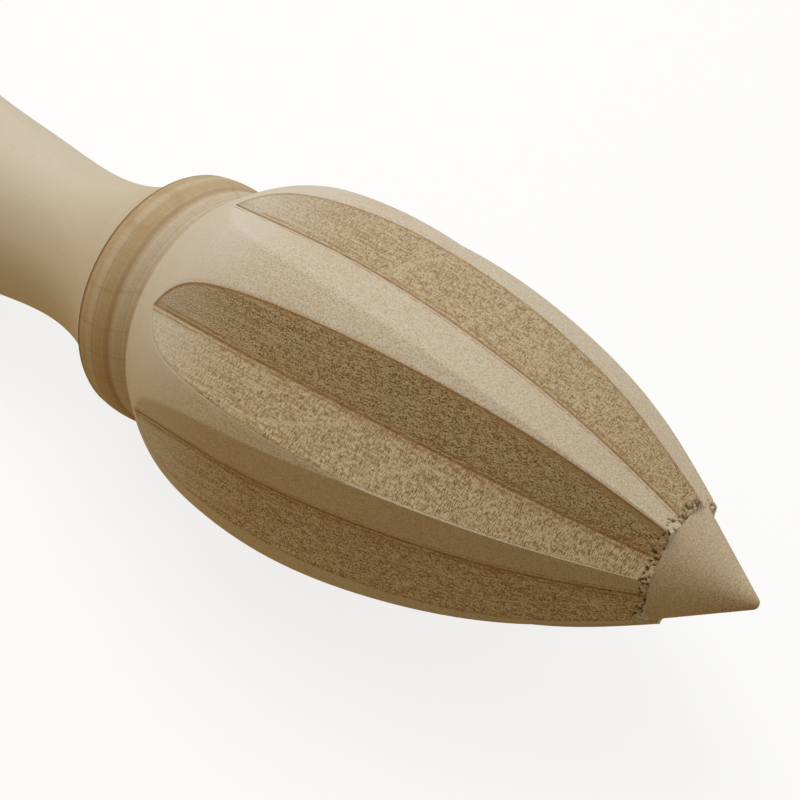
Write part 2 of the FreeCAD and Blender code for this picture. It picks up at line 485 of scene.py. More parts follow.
def fluted_tree(section):
    """Cuts the flutes into a turned head, from its land and valley radii."""
    nodes, group, out = new_group(
        "Fluted Head",
        "GeometryNodeTree",
        {
            "Turned Head": "Geometry", "Flute Angle": 2.6, "Edge Rounding": 0.0001,
            "Ripple Pitch": 0.001, "Ripple Depth": 0.00003, "Ring Place": 0.15, "Torn Reach": 0.001,
            "Torn Depth": 0.0002, "Material": "Material",
        },
        {"Head": "Geometry"},
    )

    def stored(name):
        made = nodes.add("GeometryNodeInputNamedAttribute", {"Name": name}, data_type="FLOAT")
        return made.outputs["Attribute"]

    place = nodes.add("GeometryNodeInputPosition").outputs[0]
    xyz = nodes.split(place)
    land = stored("land_radius")
    turn = stored("turn")
    cutter = nodes.add("GeometryNodeGroup", node_tree=section)
    nodes.plug(cutter.inputs["Turn"], turn)
    nodes.plug(cutter.inputs["Valley Radius"], stored("valley_radius"))
    nodes.plug(cutter.inputs["Flute Angle"], group["Flute Angle"])
    cut_radius = cutter.outputs["Flank Radius"]

    wander = nodes.noise(place, scale=350.0, detail=1.0)
    waves = nodes.times(nodes.over(xyz["X"], group["Ripple Pitch"]), 2 * math.pi)
    waves = nodes.math("SINE", nodes.plus(waves, nodes.times(wander, 5.0)))
    ripple = nodes.times(nodes.times(waves, group["Ripple Depth"]), stored("ripple"))
    kept = nodes.math("SMOOTH_MIN", land, nodes.minus(cut_radius, ripple), group["Edge Rounding"])

    reach = group["Torn Reach"]
    ragged_start = nodes.minus(nodes.noise(place, scale=900.0, detail=1.0), 0.5)
    ragged_start = nodes.plus(xyz["X"], nodes.times(ragged_start, nodes.times(reach, 2.0)))
    before_ring = nodes.over(nodes.minus(group["Ring Place"], ragged_start), reach)
    ragged = nodes.ramp(before_ring, 1.0, 0.8)
    drawn = nodes.vector("MULTIPLY", place, (0.55, 1.0, 1.0))
    hole = nodes.times(ragged, nodes.ramp(nodes.noise(drawn, scale=2600.0, detail=1.0), 0.53, 0.61))
    kept = nodes.minus(kept, nodes.times(hole, group["Torn Depth"]))

    scale = nodes.over(kept, nodes.math("MAXIMUM", land, 0.1 * MM))
    moved = nodes.join(xyz["X"], nodes.times(xyz["Y"], scale), nodes.times(xyz["Z"], scale))
    measures = {
        "cut_depth": nodes.over(nodes.minus(land, cut_radius), MM),
        "from_valley": nodes.over(nodes.times(kept, nodes.math("SINE", turn)), MM),
        "ragged": ragged,
        "hole": hole,
    }
    shape = group["Turned Head"]
    for name, value in measures.items():
        inputs = {"Geometry": shape, "Name": name}
        stage = nodes.add("GeometryNodeStoreNamedAttribute", inputs, data_type="FLOAT")
        nodes.plug(stage.inputs["Value"], value)
        shape = stage.outputs["Geometry"]
    shape = nodes.add("GeometryNodeSetPosition", {"Geometry": shape, "Position": moved}).outputs[0]
    nodes.end_shape(shape, group["Material"], out["Head"])
    return nodes.tree


def torn_fibre_tree(section):
    """Short torn fibres round the ring where the flutes run out beside the cone."""
    nodes, group, out = new_group(
        "Torn Fibres",
        "GeometryNodeTree",
        {
            "Base": "Geometry", "Count": 400, "Length": 0.0008, "Width": 0.0001, "Ring Place": 0.15,
            "Ridge Radius": 0.007, "Valley Radius": 0.006, "Flutes": 8, "Flute Angle": 2.6, "Seed": 3,
            "Material": "Material",
        },
        {"Fibres": "Geometry"},
    )

    def random(low, high, offset):
        made = nodes.add("FunctionNodeRandomValue", data_type="FLOAT")
        floats = [socket for socket in made.inputs if socket.type == "VALUE"]
        floats[0].default_value, floats[1].default_value = low, high
        nodes.plug(made.inputs["Seed"], nodes.plus(group["Seed"], offset))
        return [socket for socket in made.outputs if socket.type == "VALUE"][0]

    points = nodes.add("GeometryNodePoints", {"Count": group["Count"]}).outputs[0]
    angle = random(-math.pi, math.pi, 1)
    turn = nodes.math("PINGPONG", nodes.math("ABSOLUTE", angle), nodes.over(math.pi, group["Flutes"]))
    cutter = nodes.add("GeometryNodeGroup", node_tree=section)
    nodes.plug(cutter.inputs["Turn"], turn)
    for key in ("Valley Radius", "Flute Angle"):
        nodes.plug(cutter.inputs[key], group[key])
    surface = nodes.math("MINIMUM", group["Ridge Radius"], cutter.outputs["Flank Radius"])
    radius = nodes.minus(surface, nodes.times(group["Width"], random(0.2, 1.6, 2)))
    along = nodes.plus(group["Ring Place"], nodes.times(group["Length"], random(-1.9, -0.6, 3)))
    around = nodes.times(radius, nodes.math("SINE", angle))
    place = nodes.join(along, around, nodes.times(radius, nodes.math("COSINE", angle)))
    placed = nodes.add("GeometryNodeSetPosition", {"Geometry": points, "Position": place}).outputs[0]
    lean = nodes.join(random(-0.15, 0.15, 4), random(1.42, 1.66, 5), random(-1.5, 1.1, 6))
    spin = nodes.join(nodes.times(angle, -1.0))
    tilt = nodes.add("FunctionNodeRotateRotation", rotation_space="GLOBAL")
    nodes.plug(tilt.inputs["Rotation"], nodes.add("FunctionNodeEulerToRotation", {"Euler": lean}).outputs[0])
    nodes.plug(tilt.inputs["Rotate By"], nodes.add("FunctionNodeEulerToRotation", {"Euler": spin}).outputs[0])
    sliver = nodes.add(
        "GeometryNodeMeshCone",
        {"Vertices": 4, "Radius Top": 0.0, "Radius Bottom": group["Width"], "Depth": group["Length"]},
        fill_type="NGON",
    ).outputs["Mesh"]
    size = nodes.join(random(0.7, 1.9, 7), random(0.5, 1.2, 8), random(0.5, 1.3, 9))
    scattered = nodes.add(
        "GeometryNodeInstanceOnPoints",
        {"Points": placed, "Instance": sliver, "Rotation": tilt.outputs[0], "Scale": size},
    ).outputs[0]
    nodes.end_shape(scattered, group["Material"], out["Fibres"])
    return nodes.tree


def bake(name, base, tree, inputs):
    """Runs a geometry node tree on a base mesh and keeps the result as a plain object."""
    source = bpy.data.objects.new(name + "_source", base)
    bpy.context.scene.collection.objects.link(source)
    modifier = source.modifiers.new("Shape", "NODES")
    modifier.node_group = tree
    sockets = {item.name: item.identifier for item in tree.interface.items_tree if item.in_out == "INPUT"}
    for key, value in inputs.items():
        modifier[sockets[key]] = value
    evaluated = source.evaluated_get(bpy.context.evaluated_depsgraph_get())
    mesh = bpy.data.meshes.new_from_object(evaluated)
    bpy.data.objects.remove(source)
    mesh.name = name
    made = bpy.data.objects.new(name, mesh)
    bpy.context.scene.collection.objects.link(made)
    return made


def face_outwards(mesh):
    shape = bmesh.new()
    shape.from_mesh(mesh)
    bmesh.ops.recalc_face_normals(shape, faces=shape.faces)
    shape.to_mesh(mesh)
    shape.free()


def finish_piece(piece, node=None, sharp=math.radians(32)):
    """Outward faces, smooth shading with sharp corners, and the piece's place in the frame."""
    face_outwards(piece.data)
    piece.data.shade_smooth()
    piece.data.set_sharp_from_angle(angle=sharp)
    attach(piece, BODY)
    if node:
        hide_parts(node)


def turned_piece(name, outline, segments, material):
    base = bpy.data.meshes.new(name + "_outline")
    base.from_pydata([(x, 0, radius) for x, radius in outline], [], [])
    piece = bake(name + "_turned", base, shared_tree("turned"), {"Segments": segments, "Material": material})
    finish_piece(piece, name)
    return piece


TREES = {}


def shared_tree(key):
    """Each node tree is built once and shared."""
    if not TREES:
        TREES["turned"] = turned_tree()
        TREES["section"] = flute_section_tree()
        TREES["fluted"] = fluted_tree(TREES["section"])
        TREES["fibres"] = torn_fibre_tree(TREES["section"])
        TREES["rings"] = growth_ring_group()
        TREES["fibre"] = fibre_group()
        TREES["raw"] = raw_cut_group()
        TREES["lathe"] = lathe_line_group()
        TREES["pores"] = pore_group()
    return TREES[key]


# ---------------------------------------------------------------- head base


def head_base(s):
    """The turned head as a grid whose columns follow the flutes' valleys and edges."""
    rows = np.concatenate(
        [
            np.linspace(0.0, 0.045, 12, endpoint=False),
            np.linspace(0.045, 0.16, 58, endpoint=False),
            np.linspace(0.16, 0.97, 150, endpoint=False),
            np.linspace(0.97, 1.0, 22),
        ]
    )
    start = HEAD_START + s.back_chamfer
    xs = start + rows * (RING_X - start)
    land, valley = head_lines(s, xs)
    rise = math.pi / 2 - s.flute_angle / 2
    share = np.clip(valley / (land * math.sqrt(1 + math.tan(rise) ** 2)), -1, 1)
    edge = (np.arccos(share) - rise)[:, None]
    pitch = 2 * math.pi / s.flute_count
    # Angles grow from +Z towards +Y, against the count of the flutes
    counted = [-k % s.flute_count for k in range(s.flute_count)]
    drifts = [math.radians(FLUTE_DRIFT[flute % len(FLUTE_DRIFT)]) for flute in counted]
    middles = [k * pitch - drift for k, drift in enumerate(drifts)]
    middles = [middles[-1] - 2 * math.pi] + middles + [middles[0] + 2 * math.pi]
    flank = np.linspace(0, 1, 17)[None, 1:]
    top = np.linspace(0, 1, 15)[None, 1:-1]

    def half_width(gap):
        """Angle from a valley to its edge, kept clear of the next flute's edge."""
        return np.clip(edge, math.radians(2.5), gap / 2 - math.radians(0.8))

    angles, turns = [], []
    finish = {"tear": [], "ripple": [], "burn": []}
    for k, flute in enumerate(counted):
        before, middle, after = middles[k : k + 3]
        low = half_width(middle - before)
        high = half_width(after - middle)
        lands = middle + high + (after - high - middle - high) * top
        valley_column = np.full_like(edge, middle)
        sector = [middle - low * flank[:, ::-1], valley_column, middle + high * flank, lands]
        sector = np.concatenate(sector, axis=1)
        angles.append(sector)
        turns.append(np.minimum(np.abs(sector - middle), np.abs(after - sector)))
        for key, columns in finish.items():
            upper, lower = FLANK_FINISH[flute % len(FLANK_FINISH)][key]
            columns += [lower] * flank.size + [(upper + lower) / 2] + [upper] * (flank.size + top.size)
    angles = np.concatenate(angles, axis=1)
    count = angles.shape[1]
    xs_grid = np.repeat(xs[:, None], count, axis=1)
    verts = np.stack([xs_grid, land[:, None] * np.sin(angles), land[:, None] * np.cos(angles)], axis=2)
    grid = np.arange(angles.size).reshape(len(xs), count)
    faces = [grid[:-1], np.roll(grid[:-1], -1, axis=1), np.roll(grid[1:], -1, axis=1), grid[1:]]
    values = {
        "land_radius": np.repeat(land, count),
        "valley_radius": np.repeat(valley, count),
        "turn": np.concatenate(turns, axis=1).ravel(),
    }
    values.update({key: np.tile(columns, len(xs)) for key, columns in finish.items()})
    return close_head(s, verts.reshape(-1, 3), np.stack(faces, axis=2).reshape(-1, 4), grid, values)


def close_head(s, verts, faces, grid, values):
    """Adds the back chamfer, the two end faces and the two bores, so that the head is closed."""
    count = grid.shape[1]
    bore_end = DOWEL_END + BORE_END_GAP
    socket = bpy.context.scene.reamer_cone.tenon_radius + GLUE_CLEARANCE
    angles = np.arctan2(verts[grid[0], 1], verts[grid[0], 2])
    polygons = [tuple(face) for face in faces]
    points = [tuple(point) for point in verts]
    extra = {key: list(value) for key, value in values.items()}
    back = [(HEAD_START, s.back_radius - s.back_chamfer), (HEAD_START, BORE_RADIUS), (bore_end, BORE_RADIUS)]
    front = [(RING_X, socket), (TENON_START - BORE_END_GAP, socket)]
    for previous, rings in ((grid[0], back), (grid[-1], front)):
        for x, radius in rings:
            ring = np.arange(len(points), len(points) + count)
            points.extend((x, radius * math.sin(a), radius * math.cos(a)) for a in angles)
            plain = {"land_radius": radius, "valley_radius": 1.0}
            for key in extra:
                extra[key] += [plain.get(key, 0.0)] * count
            for i in range(count):
                j = (i + 1) % count
                polygons.append((previous[i], previous[j], ring[j], ring[i]))
            previous = ring
        polygons.append(tuple(previous))
    mesh = bpy.data.meshes.new("head_base")
    mesh.from_pydata(points, [], polygons)
    for key, value in extra.items():
        mesh.attributes.new(key, "FLOAT", "POINT").data.foreach_set("value", np.array(value, np.float32))
    return mesh


# ---------------------------------------------------------------- shared wood effects


def growth_ring_group():
    """Growth rings round a pith line beside the piece, as thin lines and a slow change of tone."""
    nodes, group, out = new_group(
        "Growth Rings",
        "ShaderNodeTree",
        {
            "Position": "Vector", "Pith": (0.0, 0.03, -0.05), "Spacing": 0.003, "Waviness": 0.001,
            "Line Share": 0.12,
        },
        {"Line": "Float", "Tone": "Float"},
    )
    squeezed = nodes.vector("MULTIPLY", group["Position"], (0.12, 1.0, 1.0))
    wander = nodes.minus(nodes.noise(squeezed, scale=90.0, detail=2.0), 0.5)
    flattened = nodes.vector("MULTIPLY", group["Position"], (0.02, 1.0, 1.0))
    away = nodes.vector("SUBTRACT", flattened, group["Pith"])
    reach = nodes.add("ShaderNodeVectorMath", {0: away}, operation="LENGTH").outputs["Value"]
    reach = nodes.plus(reach, nodes.times(wander, group["Waviness"]))
    phase = nodes.math("FRACT", nodes.over(reach, group["Spacing"]))
    rise = nodes.minus(1.0, group["Line Share"])
    nodes.plug(out["Line"], nodes.times(nodes.ramp(phase, rise, 0.985), nodes.ramp(phase, 1.0, 0.985)))
    nodes.plug(out["Tone"], nodes.times(nodes.ramp(phase, 0.0, 0.75), nodes.ramp(phase, 1.0, 0.8)))
    return nodes.tree


def fibre_group():
    """Fine streaks along the grain."""
    nodes, group, out = new_group(
        "Wood Fibre",
        "ShaderNodeTree",
        {"Position": "Vector", "Fibre Width": 0.0002, "Fibre Length": 0.006},
        {"Shade": "Float"},
    )
    xyz = nodes.split(group["Position"])
    width = group["Fibre Width"]
    scaled = nodes.join(
        nodes.over(xyz["X"], group["Fibre Length"]), nodes.over(xyz["Y"], width), nodes.over(xyz["Z"], width)
    )
    nodes.plug(out["Shade"], nodes.noise(scaled, detail=3.0, roughness=0.6))
    return nodes.tree


def raw_cut_group():
    """Wood torn by a cutter: dark pits, raised pale fibres and crosswise ripples."""
    nodes, group, out = new_group(
        "Raw Cut",
        "ShaderNodeTree",
        {"Position": "Vector", "Speckle Size": 0.0002, "Ripple Pitch": 0.0003, "Ripple Amount": 0.5},
        {"Pits": "Float", "Fuzz": "Float", "Height": "Float"},
    )
    xyz = nodes.split(group["Position"])

    def grain(size, along, across, detail=1.0):
        scaled = nodes.join(
            nodes.over(xyz["X"], nodes.times(size, along)),
            nodes.over(xyz["Y"], nodes.times(size, across)),
            nodes.over(xyz["Z"], nodes.times(size, across)),
        )
        return nodes.noise(scaled, detail=detail, roughness=0.5)

    speckle = grain(group["Speckle Size"], 1.7, 1.0)
    ripple = grain(group["Ripple Pitch"], 0.7, 2.2)
    bend = nodes.times(grain(group["Ripple Pitch"], 6.0, 5.0), 16.0)
    waves = nodes.over(nodes.times(xyz["X"], 2 * math.pi), group["Ripple Pitch"])
    stroke = nodes.math("SINE", nodes.plus(waves, bend))
    ripple = nodes.plus(ripple, nodes.times(stroke, 0.09))
    mottle = grain(group["Speckle Size"], 9.0, 5.0, detail=2.0)
    texture = nodes.add("ShaderNodeMix", {"Factor": group["Ripple Amount"]}, data_type="FLOAT")
    nodes.plug(texture.inputs["A"], speckle)
    nodes.plug(texture.inputs["B"], nodes.plus(nodes.times(ripple, 0.7), nodes.times(speckle, 0.3)))
    mixed = nodes.plus(texture.outputs["Result"], nodes.times(nodes.minus(mottle, 0.5), 0.06))
    nodes.plug(out["Pits"], nodes.ramp(mixed, 0.50, 0.39))
    nodes.plug(out["Fuzz"], nodes.ramp(mixed, 0.50, 0.61))
    nodes.plug(out["Height"], mixed)
    return nodes.tree


def lathe_line_group():
    """Fine lines that run round a turned piece."""
    nodes, group, out = new_group(
        "Lathe Lines",
        "ShaderNodeTree",
        {"Position": "Vector", "Line Pitch": 0.0004, "Drift": 0.0001},
        {"Shade": "Float"},
    )
    xyz = nodes.split(group["Position"])
    drift = nodes.times(nodes.noise(group["Position"], scale=120.0, detail=1.0), group["Drift"])
    along = nodes.over(nodes.plus(xyz["X"], drift), group["Line Pitch"])
    nodes.plug(out["Shade"], nodes.noise(along, detail=2.0, roughness=0.6, dimensions="1D"))
    return nodes.tree


def pore_group():
    """Open pores, scattered as small dark dots drawn out along the grain."""
    nodes, group, out = new_group(
        "Open Pores",
        "ShaderNodeTree",
        {"Position": "Vector", "Pore Size": 0.0004, "Drawn Out": 3.0, "Share": 0.3},
        {"Pores": "Float"},
    )
    xyz = nodes.split(group["Position"])
    size = group["Pore Size"]
    scaled = nodes.join(
        nodes.over(xyz["X"], nodes.times(size, group["Drawn Out"])),
        nodes.over(xyz["Y"], size),
        nodes.over(xyz["Z"], size),
    )
    cells = nodes.add("ShaderNodeTexVoronoi", {"Vector": scaled, "Scale": 1.0})
    chosen = nodes.math("LESS_THAN", nodes.split(cells.outputs["Color"])["X"], group["Share"])
    nodes.plug(out["Pores"], nodes.times(nodes.ramp(cells.outputs["Distance"], 0.42, 0.18), chosen))
    return nodes.tree


# ---------------------------------------------------------------- wood finishes


class Finish:
    """One wood material: its nodes, its position input and its shader."""

    def __init__(self, name, roughness):
        self.material = bpy.data.materials.new(name)
        self.material.use_nodes = True
        tree = self.material.node_tree
        tree.nodes.clear()
        self.nodes = Nodes(tree)
        self.place = self.nodes.add("ShaderNodeTexCoord").outputs["Object"]
        self.shader = self.nodes.add("ShaderNodeBsdfPrincipled", {"Roughness": roughness, "IOR": 1.45})
        surface = self.nodes.add("ShaderNodeOutputMaterial")
        tree.links.new(self.shader.outputs[0], surface.inputs["Surface"])

    def effect(self, key, **inputs):
        made = self.nodes.add("ShaderNodeGroup", node_tree=shared_tree(key))
        self.nodes.plug(made.inputs["Position"], self.place)
        for label, value in inputs.items():
            self.nodes.plug(made.inputs[label.replace("_", " ")], value)
        return made.outputs

    def attribute(self, name):
        return self.nodes.add("ShaderNodeAttribute", attribute_name=name).outputs["Fac"]

    def sanded(self, wood, rings, ring_amount, streak_amount):
        """Pale wood with a slow change of tone over each growth ring and faint streaks along the grain."""
        nodes = self.nodes
        colour = nodes.mix(nodes.times(rings["Tone"], ring_amount), rgba(wood.sanded), rgba(wood.sanded_deep))
        colour = nodes.mix(nodes.times(rings["Line"], 0.3 * ring_amount), colour, rgba(wood.scorch))
        streaks = self.effect("fibre", Fibre_Width=0.22 * MM, Fibre_Length=7 * MM)["Shade"]
        return nodes.mix(nodes.ramp(streaks, 0.38, 0.68, 0.0, streak_amount), colour, rgba(wood.sanded_deep))

    def ring_pits(self, reach):
        """Dark pits in a narrow band where the head meets the cone."""
        nodes = self.nodes
        x = nodes.split(self.place)["X"]
        wander = nodes.times(nodes.noise(self.place, scale=900.0, detail=1.0), 0.8 * MM)
        away = nodes.math("ABSOLUTE", nodes.minus(nodes.plus(x, wander), RING_X + 0.3 * MM))
        near = nodes.ramp(away, reach, 0.5 * reach)
        pits = self.effect("pores", Pore_Size=0.30 * MM, Drawn_Out=1.5, Share=0.5)["Pores"]
        return nodes.times(near, pits)

    def bump(self, height, distance):
        made = self.nodes.add("ShaderNodeBump", {"Height": height, "Strength": 1.0, "Distance": distance})
        self.nodes.plug(self.shader.inputs["Normal"], made.outputs["Normal"])

    def finish(self, colour):
        self.nodes.plug(self.shader.inputs["Base Color"], colour)
        return self.material


def handle_finish(wood):
    f = Finish("sanded_wood", 0.52)
    rings = f.effect("rings", Pith=PITH, Spacing=3.2 * MM, Waviness=1.2 * MM, Line_Share=0.3)
    colour = f.nodes.mix(0.40, f.sanded(wood, rings, 0.16, 0.3), rgba(wood.sanded_deep))
    fine = f.effect("fibre", Fibre_Width=0.08 * MM, Fibre_Length=1.2 * MM)["Shade"]
    f.bump(fine, 0.008 * MM)
    return f.finish(colour)


def collar_finish(wood):
    """Soft turned bands, brown behind, paler on the front band, crossed by faint growth lines."""
    f = Finish("collar_wood", 0.6)
    nodes = f.nodes
    width = HEAD_START - HANDLE_END
    across = nodes.over(nodes.minus(nodes.split(f.place)["X"], HANDLE_END), width)

    def band(middle, half_width):
        return nodes.ramp(nodes.math("ABSOLUTE", nodes.minus(across, middle)), half_width, 0.0)

    slow = f.effect("lathe", Line_Pitch=1.6 * MM, Drift=0.3 * MM)["Shade"]
    fine = f.effect("lathe", Line_Pitch=0.3 * MM, Drift=0.15 * MM)["Shade"]
    colour = nodes.mix(nodes.ramp(slow, 0.35, 0.60, 0.25, 1.0), rgba(wood.raw), rgba(wood.sanded_deep))
    colour = nodes.mix(nodes.ramp(across, 0.58, 0.70, 0.0, 0.35), colour, rgba(wood.sanded))
    front = nodes.ramp(across, 0.55, 0.7, 0.10, 0.18)
    colour = nodes.mix(nodes.times(nodes.ramp(fine, 0.42, 0.62), front), colour, rgba(wood.scorch))
    bands = ((0.03, 0.06, 0.75), (0.35, 0.06, 0.30), (0.61, 0.09, 0.45), (0.98, 0.05, 0.5))
    for middle, half_width, strength in bands:
        colour = nodes.mix(nodes.times(band(middle, half_width), strength), colour, rgba(wood.scorch))
    rings = f.effect("rings", Pith=PITH, Spacing=3.2 * MM, Waviness=1.2 * MM, Line_Share=0.15)
    colour = nodes.mix(nodes.times(rings["Line"], 0.25), colour, rgba(wood.scorch))
    streaks = f.effect("fibre", Fibre_Width=0.25 * MM, Fibre_Length=1.6 * MM)["Shade"]
    colour = nodes.mix(nodes.ramp(streaks, 0.4, 0.65, 0.0, 0.18), colour, rgba(wood.scorch))
    f.bump(nodes.plus(nodes.times(fine, 1.5), streaks), 0.014 * MM)
    return f.finish(colour)


def head_finish(wood):
    """Sanded lands, and flutes that are torn or smooth from flank to flank."""
    f = Finish("fluted_wood", 0.62)
    nodes = f.nodes
    cut_depth = f.attribute("cut_depth")
    from_valley = f.attribute("from_valley")
    tear = f.attribute("tear")
    ripple = f.attribute("ripple")
    rings = f.effect("rings", Pith=PITH, Spacing=2.0 * MM, Waviness=0.8 * MM, Line_Share=0.12)
    raw = f.effect("raw", Speckle_Size=0.13 * MM, Ripple_Pitch=0.2 * MM, Ripple_Amount=ripple)
    inside = nodes.ramp(cut_depth, 0.0, 0.05)

    x = nodes.split(f.place)["X"]
    worked = nodes.ramp(x, HEAD_START + 6 * MM, HEAD_START + 24 * MM)
    forward = nodes.ramp(x, HEAD_START + 30 * MM, RING_X)
    sanded = f.sanded(wood, rings, 0.10, nodes.times(worked, 0.7))
    sanded = nodes.mix(nodes.times(worked, 0.18), sanded, rgba(wood.sanded_deep))
    grain = nodes.times(raw["Pits"], nodes.ramp(worked, 0.0, 1.0, 0.25, 0.85))
    sanded = nodes.mix(grain, sanded, rgba(wood.raw))

    streaks = f.effect("fibre", Fibre_Width=0.3 * MM, Fibre_Length=18 * MM)["Shade"]
    torn = nodes.mix(nodes.ramp(streaks, 0.40, 0.60), rgba(wood.raw), rgba(wood.sanded_deep))
    torn = nodes.mix(nodes.times(raw["Fuzz"], 0.9), torn, rgba(wood.raw_light))
    torn = nodes.mix(nodes.times(raw["Pits"], 0.85), torn, rgba(wood.raw_dark))
    growth = f.effect("fibre", Fibre_Width=0.24 * MM, Fibre_Length=60 * MM)["Shade"]
    torn = nodes.mix(nodes.ramp(growth, 0.53, 0.61, 0.0, 0.55), torn, rgba(wood.scorch))
    torn = nodes.mix(nodes.ramp(growth, 0.45, 0.38, 0.0, 0.50), torn, rgba(wood.raw_light))
    torn = nodes.mix(nodes.times(rings["Line"], 0.40), torn, rgba(wood.raw_light))
    torn = nodes.mix(nodes.ramp(x, HEAD_START + 24 * MM, HEAD_START + 4 * MM, 0.0, 0.75), torn, sanded)
    rough_share = nodes.times(inside, nodes.ramp(tear, 0.0, 0.8))
    colour = nodes.mix(nodes.times(inside, 0.04), sanded, rgba(wood.raw))
    colour = nodes.mix(rough_share, colour, torn)

    burn = nodes.times(inside, f.attribute("burn"))
    burnt = nodes.ramp(burn, 0.6, 1.0)
    band = nodes.times(burnt, nodes.times(nodes.ramp(cut_depth, 0.60, 0.38), forward))
    colour = nodes.mix(nodes.times(band, 0.75), colour, rgba(wood.raw))
    edge = nodes.times(burn, nodes.ramp(cut_depth, 0.26, 0.08))
    colour = nodes.mix(nodes.times(edge, 0.85), colour, rgba(wood.scorch))

    broken = nodes.ramp(f.effect("fibre", Fibre_Width=0.16 * MM, Fibre_Length=3.5 * MM)["Shade"], 0.42, 0.56)
    line = nodes.ramp(from_valley, 0.26, 0.10)
    second = nodes.ramp(nodes.math("ABSOLUTE", nodes.minus(from_valley, 0.5)), 0.16, 0.04)
    wide = nodes.times(nodes.ramp(from_valley, 1.3, 0.2), nodes.times(tear, 0.7))
    several = nodes.math("ABSOLUTE", nodes.minus(nodes.math("FRACT", nodes.over(from_valley, 0.36)), 0.5))
    wide = nodes.times(wide, nodes.ramp(several, 0.30, 0.46, 0.15, 1.0))
    beside = nodes.times(nodes.math("MAXIMUM", second, wide), broken)
    valley = nodes.times(nodes.math("MAXIMUM", nodes.times(line, 0.8), beside), inside)
    colour = nodes.mix(nodes.times(valley, 0.85), colour, rgba(wood.scorch))
    core = nodes.times(nodes.times(nodes.ramp(from_valley, 0.16, 0.05), broken), inside)
    colour = nodes.mix(nodes.times(core, 0.6), colour, rgba(wood.raw_dark))
    colour = nodes.mix(nodes.times(forward, 0.55), colour, rgba(wood.forward_tint), "MULTIPLY")
    colour = nodes.mix(nodes.times(f.attribute("ragged"), 0.2), colour, rgba(wood.raw_light))
    # The torn holes are painted nearly black: the dark torn grain, darkened further by painted shade inside
    # the holes
    pit_grain_and_shade = rgba([0.6 * channel for channel in wood.raw_dark])
    colour = nodes.mix(nodes.times(f.attribute("hole"), 0.95), colour, pit_grain_and_shade)
    f.bump(nodes.times(raw["Height"], nodes.math("MAXIMUM", rough_share, 0.15)), 0.10 * MM)
    return f.finish(colour)


def cone_finish(wood):
    """As turned: fine speckle and faint tool lines, with open pores near the tip."""
    f = Finish("cone_wood", 0.6)
    nodes = f.nodes
    rings = f.effect("rings", Pith=PITH, Spacing=2.0 * MM, Waviness=0.8 * MM, Line_Share=0.3)
    raw = f.effect("raw", Speckle_Size=0.12 * MM, Ripple_Pitch=0.3 * MM, Ripple_Amount=0.0)
    colour = f.sanded(wood, rings, 0.12, 0.4)
    colour = nodes.mix(0.60, colour, rgba(wood.raw))
    lines = f.effect("lathe", Line_Pitch=0.22 * MM, Drift=0.08 * MM)["Shade"]
    colour = nodes.mix(nodes.ramp(lines, 0.4, 0.62, 0.0, 0.35), colour, rgba(wood.raw))
    colour = nodes.mix(nodes.times(raw["Pits"], 0.45), colour, rgba(wood.scorch))
    colour = nodes.mix(nodes.times(raw["Fuzz"], 0.45), colour, rgba(wood.raw_light))
    xyz = nodes.split(f.place)
    to_point = nodes.ramp(xyz["X"], RING_X + 3.0 * MM, POINT_X - 1.5 * MM)
    below = nodes.ramp(nodes.plus(xyz["Z"], nodes.times(xyz["Y"], 0.7)), 1.0 * MM, -1.5 * MM, 0.25, 1.0)
    pores = f.effect("pores", Pore_Size=0.25 * MM, Drawn_Out=1.5, Share=0.55)["Pores"]
    open_pores = nodes.times(pores, nodes.times(to_point, below))
    colour = nodes.mix(nodes.times(open_pores, 0.8), colour, rgba(wood.raw_dark))
    tip = nodes.ramp(xyz["X"], POINT_X - 1.6 * MM, POINT_X)
    colour = nodes.mix(nodes.times(tip, 0.4), colour, rgba(wood.scorch))
    colour = nodes.mix(nodes.times(f.ring_pits(0.5 * MM), 0.6), colour, rgba(wood.raw_dark))
    f.bump(nodes.minus(nodes.times(lines, 0.5), open_pores), 0.02 * MM)
    return f.finish(colour)


def torn_fibre_finish(wood):
    f = Finish("torn_fibre_wood", 0.65)
    nodes = f.nodes
    spots = f.effect("fibre", Fibre_Width=0.3 * MM, Fibre_Length=0.5 * MM)["Shade"]
    colour = nodes.mix(nodes.ramp(spots, 0.4, 0.6), rgba(wood.sanded_deep), rgba(wood.raw_light))
    colour = nodes.mix(nodes.ramp(spots, 0.46, 0.36), colour, rgba(wood.raw_dark))
    return f.finish(colour)


def dowel_finish(wood):
    f = Finish("dowel_wood", 0.6)
    rings = f.effect("rings", Pith=(0.0, 0.01, -0.02), Spacing=2.5 * MM, Waviness=1 * MM, Line_Share=0.1)
    return f.finish(f.sanded(wood, rings, 0.6, 0.3))


# ---------------------------------------------------------------- operators


class REAMER_OT_handle(bpy.types.Operator):
    """Turn the handle"""

    bl_idname = "reamer.handle"
    bl_label = "Handle"

    def execute(self, context):
        scene = context.scene
        outline = handle_outline(scene.reamer_handle)
        turned_piece("handle", outline, 224, handle_finish(scene.reamer_wood))
        return {"FINISHED"}


class REAMER_OT_collar(bpy.types.Operator):
    """Turn the beaded collar"""

    bl_idname = "reamer.collar"
    bl_label = "Collar"

    def execute(self, context):
        scene = context.scene
        outline = collar_outline(scene.reamer_collar)
        turned_piece("collar", outline, 256, collar_finish(scene.reamer_wood))
        return {"FINISHED"}


